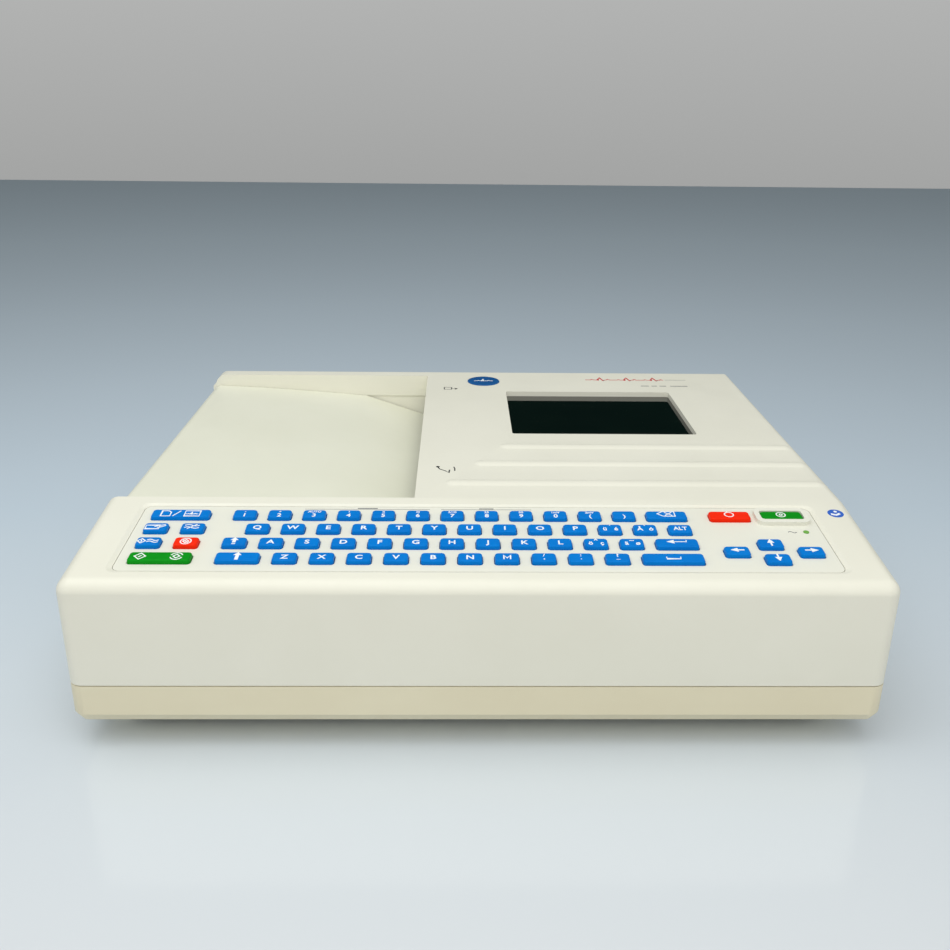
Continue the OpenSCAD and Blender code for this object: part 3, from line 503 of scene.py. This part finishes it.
def letters(text, stretch):
    """Thin solid mesh of a short text, centred, with capitals one unit high."""
    curve = bpy.data.curves.new("letters", "FONT")
    curve.body = text
    curve.align_x = "CENTER"
    curve.resolution_u = 3
    curve.extrude = 0.5
    curve.offset = HEAVIER
    holder = bpy.data.objects.new("letters", curve)
    bpy.context.scene.collection.objects.link(holder)
    graph = bpy.context.evaluated_depsgraph_get()
    data = bpy.data.meshes.new_from_object(holder.evaluated_get(graph))
    bpy.data.objects.remove(holder)
    data.transform(Matrix.Diagonal((stretch / CAPITAL_HEIGHT, 1 / CAPITAL_HEIGHT, 1, 1)))
    return data


def letter_m(x, y, height, stretch):
    """The letter M as one line, because the font's own M folds over itself when made heavier."""
    left, right = x - 0.42 * height * stretch, x + 0.42 * height * stretch
    top, dip = y + height, y + 0.3 * height
    return [(left, y), (left, top), (x, dip), (right, top), (right, y)]


def add_letters(mesh, text, x, y, height, bottom, top, transform, stretch):
    """Adds a text as thin closed solids, its baseline at y."""
    if text == "M":
        stroke(mesh, letter_m(x, y, height, stretch), 0.19 * height, bottom, top, transform)
        return
    data = letters(text, stretch)
    middle = (bottom + top) / 2
    size = Matrix.Diagonal((height, height, top - bottom, 1))
    data.transform(transform @ Matrix.Translation((x, y, middle)) @ size)
    mesh.from_mesh(data)
    bpy.data.meshes.remove(data)
    bmesh.ops.remove_doubles(mesh, verts=mesh.verts, dist=1e-7)


# ---- keys ----

FLANGE_RIM = 0.9 * MM
KEY_CORNER = 1.7 * MM
KEY_FILLET = 0.95 * MM
KEY_DRAFT = 0.18 * MM
KEY_SINK = 4.4 * MM
KEY_SHOULDER = 2.3 * MM
SHOULDER_STEPS = 6
# legends are drawn in millimetres, from just inside a cap to just proud of it
INK_BED = 0.07
INK_TOP = INK_BED + 0.035


def keycap(mesh, box):
    """One moulded cap: drafted walls, rounded shoulder, slightly dished top."""
    low, high = box
    width = high.x - low.x - 2 * FLANGE_RIM
    depth = high.y - low.y - 2 * FLANGE_RIM
    centre_x, centre_y, top = (low.x + high.x) / 2, (low.y + high.y) / 2, high.z
    levels = [(0.0, -KEY_SINK), (0.0, -KEY_SHOULDER), (KEY_DRAFT, -KEY_FILLET)]
    for i in range(1, SHOULDER_STEPS + 1):
        angle = math.pi / 2 * i / SHOULDER_STEPS
        inset = KEY_DRAFT + KEY_FILLET * (1 - math.cos(angle))
        levels.append((inset, KEY_FILLET * (math.sin(angle) - 1)))
    levels.append((KEY_DRAFT + 1.5 * KEY_FILLET, -0.03 * MM))
    levels.append((KEY_DRAFT + 2.4 * KEY_FILLET, -0.06 * MM))
    rings = []
    for inset, drop in levels:
        radius = max(KEY_CORNER - inset * 0.55, 0.4 * MM)
        outline = rounded_outline(width - 2 * inset, depth - 2 * inset, radius)
        rings.append([TO_WORLD @ Vector((centre_x + x, centre_y + y, top + drop)) for x, y in outline])
    stack_rings(mesh, rings)
    return Vector((centre_x, centre_y, top))


def build_keys(node, material):
    """Replaces a node's caps and returns the middle of each cap's top, left to right."""
    mesh = bmesh.new()
    tops = [keycap(mesh, box) for box in islands(node, TO_DECK)]
    obj = new_piece(node + "_caps", mesh, material, node)
    obj.modifiers.new("shade", "WEIGHTED_NORMAL").weight = 80
    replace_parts(obj, node)
    return tops


def key_frame(top):
    """Places flat drawings in millimetres on a cap's top."""
    return TO_WORLD @ Matrix.Translation(top - Vector((0, 0, INK_BED * MM))) @ Matrix.Scale(MM, 4)


def legend_piece(node, mesh):
    """The white drawings on a node's caps, as one piece."""
    new_piece(node + "_legends", mesh, WHITE_INK, node, smooth=False)


def letter_row(node, texts):
    """One row of blue keys; each key has a list of (text, x, y, height, stretch)."""
    tops = build_keys(node, BLUE)
    mesh = bmesh.new()
    for top, marks in zip(tops, texts):
        place = key_frame(top)
        for text, x, y, height, stretch in marks:
            if text:
                add_letters(mesh, text, x, y, height, 0, INK_TOP, place, stretch)
    legend_piece(node, mesh)
    return tops


def plain(text):
    """A single large letter."""
    return [(text, 0, -2.1, 3.4, 1.12)]


def pair(main, upper):
    """A digit with a small second legend behind it."""
    return [(main, 0, -3.3, 3.1, 1.0), (upper, 0, 0.95, 1.7, 1.0)]


def twins(left, right, accent):
    """Two letters side by side with an accent behind them."""
    marks = [(left, -2.8, -2.3, 3.1, 0.95), (right, 2.9, -2.3, 3.1, 0.95)]
    return marks + [(accent, 0, 0.6, 2.6, 1.1)]


def stacked(upper, upper_y, upper_height, lower, lower_y, lower_height):
    """Two punctuation marks, one behind the other."""
    return [(upper, 0, upper_y, upper_height, 1.1), (lower, 0, lower_y, lower_height, 1.1)]


DIGIT_TOPS = letter_row("digit_keys", [
    pair("1", "-"), pair("2", "+"), pair("3", "AUTO"), pair("4", "I"), pair("5", "II"), pair("6", "III"),
    pair("7", "5/10"), pair("8", "25"), pair("9", "50"), pair("0", "1mV"), pair("(", "2mV"), pair(")", ""),
])
letter_row("upper_letter_keys", [plain(c) for c in "QWERTYUIOP"] + [
    twins("ü", "é", "´"), twins("Å", "ó", "`"), [("ALT", 0, -1.7, 3.1, 0.88)],
])
letter_row("middle_letter_keys", [plain(c) for c in "ASDFGHJKL"] + [
    twins("ö", "ç", "^"), twins("ä", "ø", "~"),
])
letter_row("lower_letter_keys", [plain(c) for c in "ZXCVBNM"] + [
    stacked("/", 0.6, 2.2, ",", -1.9, 2.6), stacked(":", 0.8, 2.2, ".", -1.9, 2.6),
    stacked("?", 0.4, 2.6, "_", -1.7, 2.2),
])

DRAWN_LINE = 0.6
LOW_DRAWING = -1.2  # the function keys carry their drawings low on the cap
DRAWING = -0.15


def up_arrow(barred):
    """Outline of the shift arrow, with a bar below for the lock."""
    foot = -1.2 if barred else -3.0
    arrow = [(-2.0, 1.1), (-0.85, 1.1), (-0.85, foot), (0.85, foot), (0.85, 1.1), (2.0, 1.1), (0, 3.6)]
    bar = [(-0.9, -2.7), (0.9, -2.7), (0.9, -2.0), (-0.9, -2.0)]
    return [arrow, bar] if barred else [arrow]


def pointer(turn):
    """Outline of an arrow for the cursor keys, turned anticlockwise in degrees from right."""
    shape = [(-3.4, -0.45), (-0.3, -0.45), (-0.3, -1.8), (3.5, 0), (-0.3, 1.8), (-0.3, 0.45), (-3.4, 0.45)]
    c, s = math.cos(math.radians(turn)), math.sin(math.radians(turn))
    squeeze = 0.92 if turn % 180 else 1.0
    return [[(x * squeeze * c - y * s, x * squeeze * s + y * c + 0.4) for x, y in shape]]


def wave(x0, x1, y, height):
    """One full sine wave."""
    parts = [i / 10 for i in range(11)]
    return [(x0 + (x1 - x0) * t, y + height * math.sin(2 * math.pi * t)) for t in parts]


def trace(x0, y0, scale):
    """A plain heartbeat trace."""
    beat = [(0, 0), (1.0, 0), (1.4, 0.35), (1.8, 0), (2.2, 0), (2.5, -0.3), (2.9, 1.9),
            (3.3, -0.6), (3.6, 0), (4.3, 0), (4.8, 0.5), (5.3, 0), (6.2, 0)]
    return [(x0 + x * scale, y0 + y * scale) for x, y in beat]


def box_outline(x0, y0, x1, y1):
    """Corners of an upright rectangle."""
    return [(x0, y0), (x1, y0), (x1, y1), (x0, y1)]


def diamond(x, y, r):
    """Corners of a square standing on its tip."""
    return [(x + r, y), (x, y + r), (x - r, y), (x, y - r)]


# each drawing: filled outlines, closed lines, open lines
DRAWINGS = {
    "shift_lock_key": (up_arrow(True), [], []),
    "shift_key": (up_arrow(False), [], []),
    "arrow_left_key": (pointer(180), [], []),
    "arrow_right_key": (pointer(0), [], []),
    "arrow_up_key": (pointer(90), [], []),
    "arrow_down_key": (pointer(270), [], []),
    "backspace_key": ([], [[(-4.8, 0.9), (-2.0, 3.2), (4.3, 3.2), (4.3, -1.5), (-2.0, -1.5)]],
                      [[(-0.9, 2.5), (2.9, -0.8)], [(-0.9, -0.8), (2.9, 2.5)]]),
    "enter_key": ([[(-5.4, 0.8), (-1.5, 2.5), (-1.5, -0.9)]], [], [[(-1.8, 0.8), (4.7, 0.8), (4.7, 2.4)]]),
    "space_key": ([], [], [[(-3.4, 0.6), (-3.4, -1.2), (3.4, -1.2), (3.4, 0.6)]]),
    "report_key": ([], [[(-9.9, -2.0), (-5.1, -2.0), (-5.1, 1.8), (-6.6, 3.3), (-9.9, 3.3)],
                        box_outline(2.2, -2.0, 10.0, 3.3)],
                   [[(-3.6, -2.0), (-0.4, 3.3)], trace(2.6, 0.1, 1.05)]),
    "patient_key": ([], [box_outline(-4.9, -1.1, 2.0, 2.4)],
                    [[(-0.6, 1.0), (4.6, 3.2)], [(1.0, -0.2), (5.0, 2.2)]]),
    "leads_key": ([], [], [wave(-4.1, 3.4, 2.4, 0.7), wave(-4.1, 3.4, 0.2, 0.7),
                           [(-2.4, -0.9), (2.0, 3.4)]]),
    "filter_key": ([], [diamond(-3.3, 1.1, 2.0)],
                   [[(-3.3, 0.2), (-3.3, 2.0)], wave(-0.7, 5.0, 2.0, 0.6), wave(-0.7, 5.0, 0.3, 0.6)]),
    "stop_key": ([], [circle(0, 0.9, 2.6), diamond(0, 0.9, 1.5)], [[(-1.9, 2.8), (1.9, -1.0)]]),
    "start_key": ([], [diamond(-9.3, 0.9, 2.7), diamond(8.2, 1.0, 1.6)],
                  [[(-9.9, 0.1), (-8.7, 1.7)], arc(8.2, 1.0, 2.9, 20, 160), arc(8.2, 1.0, 2.9, 200, 340)]),
    "power_off_key": ([], [circle(-0.3, 0.4, 2.3)], [[(-0.8, 2.8), (-0.8, 3.7)]]),
    "power_on_key": ([], [circle(-0.3, 0.5, 2.3), circle(-0.3, 0.5, 0.75)], []),
}
COLOURS = {"stop_key": (RED, "key_red"), "power_off_key": (RED, "key_red"),
           "start_key": (GREEN, "key_green"), "power_on_key": (GREEN, "key_green")}


def draw(mesh, place, drawing, width, bottom, top):
    """Adds a drawing's filled outlines, closed lines and open lines as thin solids."""
    fills, loops, lines = drawing
    for outline in fills:
        prism(mesh, outline, bottom, top, place)
    for line in loops:
        stroke(mesh, line, width, bottom, top, place, closed=True)
    for line in lines:
        stroke(mesh, line, width, bottom, top, place)


def drawn_key(key, drawing):
    """A single key with its drawing."""
    material, slot = COLOURS.get(key, (BLUE, "key_blue"))
    top = build_keys(key, material)[0]
    left_of_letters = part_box(key)[1].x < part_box("digit_keys")[0].x
    shift = Matrix.Translation((0, LOW_DRAWING if left_of_letters else DRAWING, 0))
    mesh = bmesh.new()
    draw(mesh, key_frame(top) @ shift, drawing, DRAWN_LINE, 0, INK_TOP)
    legend_piece(key, mesh)


for key_name, key_drawing in DRAWINGS.items():
    drawn_key(key_name, key_drawing)

# ---- badge and printed marks ----

BADGE_LOW, BADGE_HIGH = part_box("badge")
BADGE_MIDDLE = (BADGE_LOW + BADGE_HIGH) / 2
BADGE_RADIUS = (BADGE_HIGH.x - BADGE_LOW.x) / 2
PANEL_TOP = BADGE_LOW.z
# a domed face: inset from the rim and height above the panel, in millimetres
BADGE_DOME = ((0, 0), (0, 0.35), (0.12, 0.5), (0.4, 0.58), (2.5, 0.62), (6, 0.66))
KEY_HEIGHT = 2.2 * MM
DECK_SINK = 0.9 * MM
# printed marks start just inside the surface and stand just proud of it, in millimetres
PRINT_ROOT = -0.02
PRINT_TOP = 0.03


def on_panel(x_mm, y_mm):
    """Frame for marks on the flat panel, in millimetres; x and y run from the badge's middle."""
    spot = (BADGE_MIDDLE.x + x_mm * MM, BADGE_MIDDLE.y + y_mm * MM, PANEL_TOP)
    return Matrix.Translation(spot) @ Matrix.Scale(MM, 4)


def on_deck(x, y_mm, lift=0.0):
    """Frame for marks in the key panel's plane; y runs up the deck from the digit row's middle."""
    first = DIGIT_TOPS[0]
    spot = Vector((x, first.y + y_mm * MM, first.z - KEY_HEIGHT + lift))
    return TO_WORLD @ Matrix.Translation(spot) @ Matrix.Scale(MM, 4)


def build_badge():
    """Domed blue disc with a plain white heartbeat line."""
    mesh = bmesh.new()
    rings = []
    for inset, height in BADGE_DOME:
        rings.append([(BADGE_MIDDLE.x + x * MM, BADGE_MIDDLE.y + y * MM, PANEL_TOP + height * MM)
                      for x, y in circle(0, 0, BADGE_RADIUS / MM - inset, 72)])
    stack_rings(mesh, rings)
    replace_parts(new_piece("badge_disc", mesh, BADGE_BLUE, ROOT), "badge")
    marks = bmesh.new()
    stroke(marks, trace(-7.2, -0.6, 2.3), 0.9, 0.55, 0.72, on_panel(0, 0))
    new_piece("badge_wave", marks, WHITE_INK, ROOT, smooth=False)


def marks_piece(name, material, *parts):
    """One printed piece: each part is a frame, a drawing and a line width."""
    mesh = bmesh.new()
    for place, drawing, width in parts:
        draw(mesh, place, drawing, width, PRINT_ROOT, PRINT_TOP)
    new_piece(name, mesh, material, ROOT, smooth=False)


def build_panel_prints():
    """Red pulse trace with grey rules after and below it."""
    place = on_panel(78, 6)
    beat = [(0, 0), (4, 0), (5.2, 1.3), (6.4, 0), (8, 0), (9.2, -1.2), (11.4, 6.4), (13.6, -2.6),
            (14.8, 0), (16, 0), (17.4, 1.8), (18.8, 0)]
    pulses = [(x + 20.4 * i, y) for i in range(3) for x, y in beat]
    marks_piece("panel_trace", RED_INK, (place, ([], [], [pulses]), 1.1))
    rule = [(61, 0.6), (77, 0.6)]
    bars = [[(x, -16), (x + length, -16)] for x, length in ((40, 6), (48, 4), (54, 5), (62, 13))]
    marks_piece("panel_rules", GREY_INK, (place, ([], [], [rule]), 0.5), (place, ([], [], bars), 1.3))


def build_panel_signs():
    """Two small drawings at the panel's left: a sheet with an arrow, and a lifted flap."""
    sheet = box_outline(-4.4, -1.5, 1.0, 3.6)
    arrow = [[(1.4, 0), (5.0, 0)], [(3.4, 1.8), (5.2, 0), (3.4, -1.8)]]
    knob = circle(-4.9, 5.0, 1.1, 12)
    flap = [(-5.2, 5.4), (-3.8, 1.4), (-0.6, -1.4), (1.6, -4.4), (2.0, 0.2)]
    edge = [(4.4, 5.0), (5.0, 2.2), (5.0, -1.4)]
    marks_piece("panel_signs", DARK_INK, (on_panel(-25, -20), ([], [sheet], arrow), 0.7),
                (on_panel(-26, -187), ([knob], [], [flap, edge]), 0.7))


def build_deck_prints():
    """Brackets over two groups of digit keys, and a small wave beside the mains indicator."""
    parts = []
    for first, last in ((2, 5), (6, 8)):
        left, right = DIGIT_TOPS[first].x - 6 * MM, DIGIT_TOPS[last].x + 6 * MM
        width = (right - left) / MM
        place = on_deck(left, 8.2)
        parts.append((place, ([], [], [[(0, 0), (width, 0)]]), 0.35))
        parts.append((place, ([], [], [[(width * 0.42, 0.9), (width * 0.58, 0.9)]]), 0.8))
    low, high = islands("mains_led", TO_DECK)[0]
    led_up = ((low.y + high.y) / 2 - DIGIT_TOPS[0].y) / MM
    beside_led = on_deck((low.x + high.x) / 2 - 7.1 * MM, led_up)
    parts.append((beside_led, ([], [], [wave(-2.2, 2.2, 0, 0.7)]), 0.55))
    marks_piece("deck_prints", GREY_INK, *parts)


def build_manual_sign():
    """Round blue sign right of the keys, with a plain reader figure."""
    sign = on_deck(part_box("key_panel")[1].x + 13.2 * MM, 4.1, DECK_SINK)
    marks_piece("manual_sign", SIGN_BLUE, (sign, ([circle(0, 0, 4.2, 40)], [], []), 0))
    raised = sign @ Matrix.Translation((0, 0, PRINT_TOP))
    head = circle(0.4, 1.9, 0.95, 16)
    book = [(-2.8, -1.6), (-0.2, -2.4), (2.4, -1.0), (2.0, 0.6), (-0.2, -0.9), (-2.6, 0.2)]
    marks_piece("manual_sign_figure", WHITE_INK, (raised, ([head, book], [], []), 0))


# ---- paper and springs ----

LEAVES = 40
LEAF_FILL = 0.82
SIDE_SPREAD = 0.5 * MM
FOLD_SPREAD = 0.25 * MM


def build_paper():
    """Z-folded stack: thin leaves with slightly uneven fold lines."""
    low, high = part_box("paper_pack")
    spread = random.Random(7)
    step = (high.z - low.z) / LEAVES
    mesh = bmesh.new()
    for i in range(LEAVES):
        left = low.x + spread.uniform(0, SIDE_SPREAD)
        right = high.x - spread.uniform(0, SIDE_SPREAD)
        front = low.y + spread.uniform(0, FOLD_SPREAD)
        back = high.y - spread.uniform(0, FOLD_SPREAD)
        outline = box_outline(left, front, right, back)
        prism(mesh, outline, low.z + i * step, low.z + (i + LEAF_FILL) * step, Matrix.Identity(4))
    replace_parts(new_piece("paper_leaves", mesh, PAPER, ROOT, smooth=False), "paper_pack")


def build_springs():
    """Pressure springs: a welded copy of the CAD node's mesh, with mesh data of its own, in place of the
    node.
    """
    node = "printhead_springs"
    springs = new_piece("pressure_springs", node_mesh(node), SCREW, ROOT)
    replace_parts(springs, node)
    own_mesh(springs)


build_badge()
build_panel_prints()
build_panel_signs()
build_deck_prints()
build_manual_sign()
build_springs()
build_paper()

# ---- floor, light, camera ----


def area_light(name, place, aim, size, power, colour):
    """Rectangular soft light at a place, turned towards its aim."""
    data = bpy.data.lights.new(name, "AREA")
    data.shape = "RECTANGLE"
    data.size, data.size_y = size
    data.energy = power
    data.color = colour
    lamp = bpy.data.objects.new(name, data)
    lamp.location = place
    direction = Vector(aim) - Vector(place)
    lamp.rotation_euler = direction.to_track_quat("-Z", "Y").to_euler()
    bpy.context.scene.collection.objects.link(lamp)


def build_floor():
    """Pale table top, cooler towards the back, where a reflection of the backdrop is painted into its
    colour.
    """
    shader = Shader("floor")
    split = shader.add("ShaderNodeSeparateXYZ")
    shader.join(shader.place, "Object", split, "Vector")
    # painted reflection: the table's colour turns cooler and bluer towards the back
    depth = shader.math("MULTIPLY_ADD", (split, "Y"), 1.2, 0.75, clamp=True)
    tone = shader.ramp(depth, 0, [(0.0, rgb(221, 219, 218)), (0.9, rgb(203, 217, 229))])
    shader.join(tone, "Color", shader.surface, "Base Color")
    shader.value("Roughness", 0.12)
    shader.value("IOR", 1.45)
    mesh = bmesh.new()
    bmesh.ops.create_grid(mesh, x_segments=8, y_segments=8, size=3.0)
    data = bpy.data.meshes.new("floor")
    mesh.to_mesh(data)
    mesh.free()
    data.materials.append(shader.material)
    floor = bpy.data.objects.new("floor", data)
    bpy.context.scene.collection.objects.link(floor)


STUDIO = (0.95, 0.96, 0.95)
DARK_WALL = (0.015, 0.035, 0.03)


def build_world():
    """Even pale studio light; mirror-like reflections from low behind see a darker wall."""
    world = bpy.data.worlds.new("studio")
    world.use_nodes = True
    tree = world.node_tree
    background = tree.nodes["Background"]
    place = tree.nodes.new("ShaderNodeTexCoord")
    split = tree.nodes.new("ShaderNodeSeparateXYZ")
    tree.links.new(place.outputs["Generated"], split.inputs[0])

    def over(axis, start, end, low, high):
        """Value that goes from low to high as the direction's axis goes from start to end."""
        node = tree.nodes.new("ShaderNodeMapRange")
        values = {"From Min": start, "From Max": end, "To Min": low, "To Max": high}
        for socket, value in values.items():
            node.inputs[socket].default_value = value
        tree.links.new(split.outputs[axis], node.inputs["Value"])
        return node.outputs["Result"]

    path = tree.nodes.new("ShaderNodeLightPath")
    glossy = tree.nodes.new("ShaderNodeMath")
    glossy.operation = "MULTIPLY"
    tree.links.new(path.outputs["Is Glossy Ray"], glossy.inputs[0])
    tree.links.new(over("Y", 0.15, 0.45, 0, 1), glossy.inputs[1])
    mix = tree.nodes.new("ShaderNodeMix")
    mix.data_type = "RGBA"
    tree.links.new(glossy.outputs[0], mix.inputs[0])
    mix.inputs[6].default_value = (*STUDIO, 1)
    mix.inputs[7].default_value = (*DARK_WALL, 1)
    tree.links.new(mix.outputs[2], background.inputs["Color"])
    tree.links.new(over("Z", -0.1, 0.45, 0.38, 0.66), background.inputs["Strength"])
    bpy.context.scene.world = world


CAMERA_AT = Vector((-11.6, -578.4, 305.7)) * MM
CAMERA_PITCH = math.radians(21.335)
CAMERA_YAW = math.radians(1.103)
CAMERA_ROLL = math.radians(0.651)
CAMERA_LENS = 37.31


def build_camera():
    """Camera in front of the deck, looking down at the panel, with a slight roll."""
    data = bpy.data.cameras.new("camera")
    data.lens = CAMERA_LENS
    data.sensor_width = 36
    data.clip_start = 0.01
    camera = bpy.data.objects.new("camera", data)
    look = Vector((math.sin(CAMERA_YAW) * math.cos(CAMERA_PITCH),
                   math.cos(CAMERA_YAW) * math.cos(CAMERA_PITCH), -math.sin(CAMERA_PITCH)))
    right = Vector((math.cos(CAMERA_YAW), -math.sin(CAMERA_YAW), 0))
    up = right.cross(look)
    c, s = math.cos(CAMERA_ROLL), math.sin(CAMERA_ROLL)
    rolled_right = c * right + s * up
    rolled_up = -s * right + c * up
    turn = Matrix((rolled_right, rolled_up, -look)).transposed()
    camera.matrix_world = Matrix.Translation(CAMERA_AT) @ turn.to_4x4()
    bpy.context.scene.collection.objects.link(camera)
    bpy.context.scene.camera = camera


build_floor()
build_world()
area_light("overhead", place=(-0.18, -0.36, 0.92), aim=(0, 0, 0.08), size=(1.2, 0.7),
           power=4.95, colour=(0.97, 1, 0.99))
area_light("front_fill", place=(0.2, -1.25, 0.85), aim=(0, 0, 0.05), size=(1.3, 0.7),
           power=3.3, colour=(1, 0.96, 0.88))
build_camera()
bpy.context.scene.view_settings.view_transform = "Standard"
